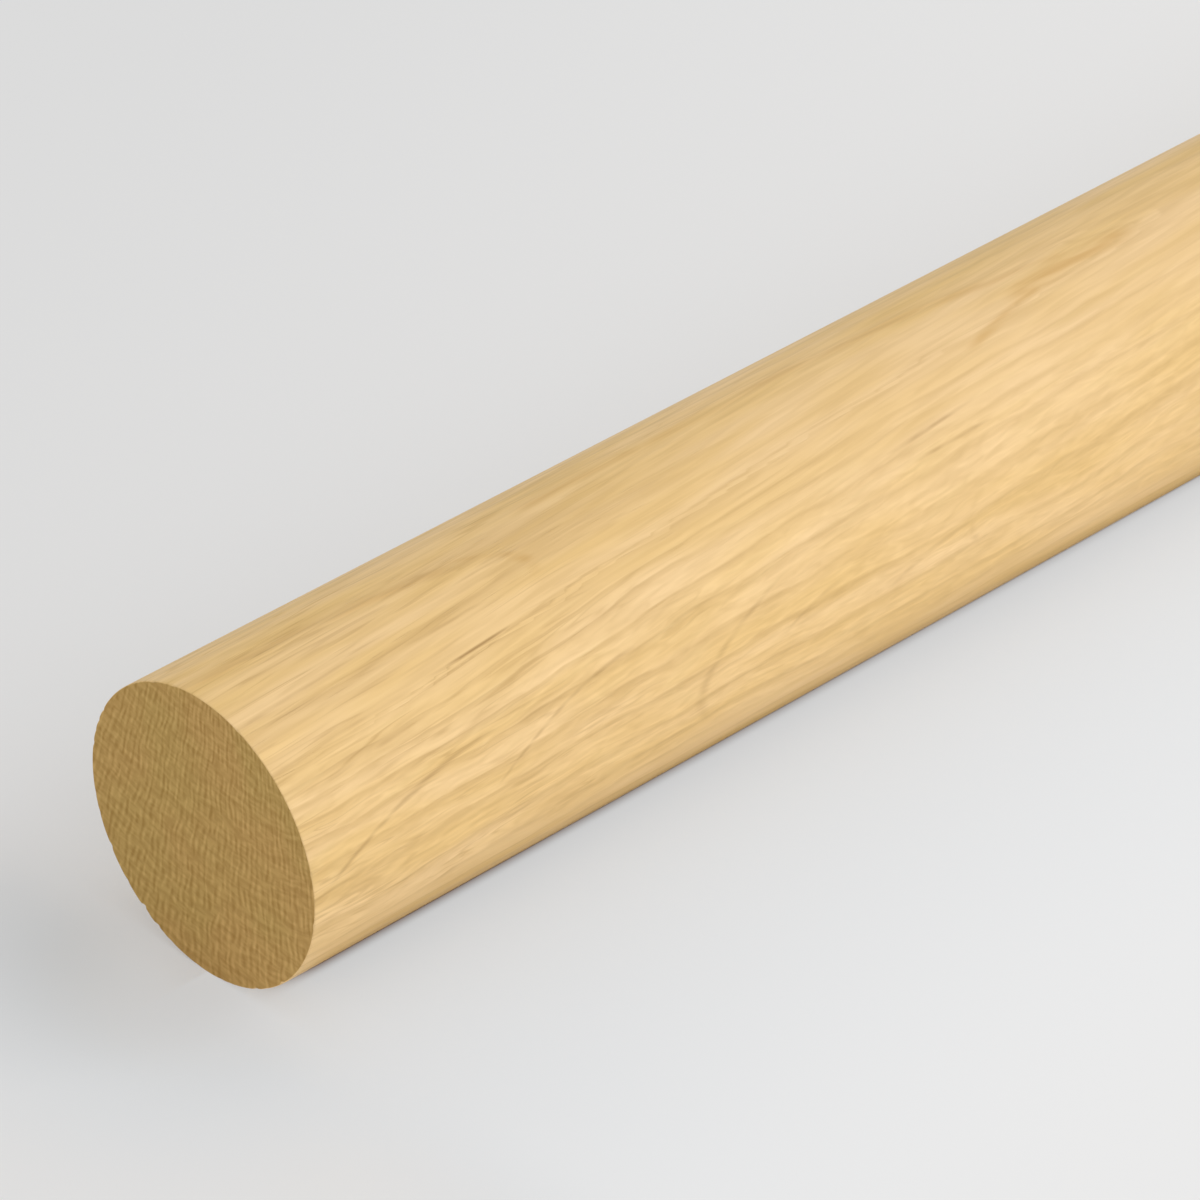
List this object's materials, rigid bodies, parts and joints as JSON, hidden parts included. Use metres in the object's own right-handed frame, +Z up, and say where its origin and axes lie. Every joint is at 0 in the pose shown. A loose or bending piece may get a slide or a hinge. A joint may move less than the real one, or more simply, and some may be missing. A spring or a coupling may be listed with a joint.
{
  "type": "round stair handrail length",
  "caption": "Straight length of solid round oak handrail, sanded and clear satin finished, with square-sawn bare ends, for fixing along a stair on brackets.",
  "frame": {"origin": "middle of the line on which the rail lies on a level floor", "axes": "+X along the rail, +Z up, +Y across it; the sawn end that the picture shows is at -X"},
  "size_m": [2, 0.0418, 0.042],
  "materials": {
    "oak": "pale oak, fine sanded with a clear satin finish along the side, bare saw-cut end grain"
  },
  "bodies": {
    "root": {"handrail": "oak"}
  },
  "joints": []
}
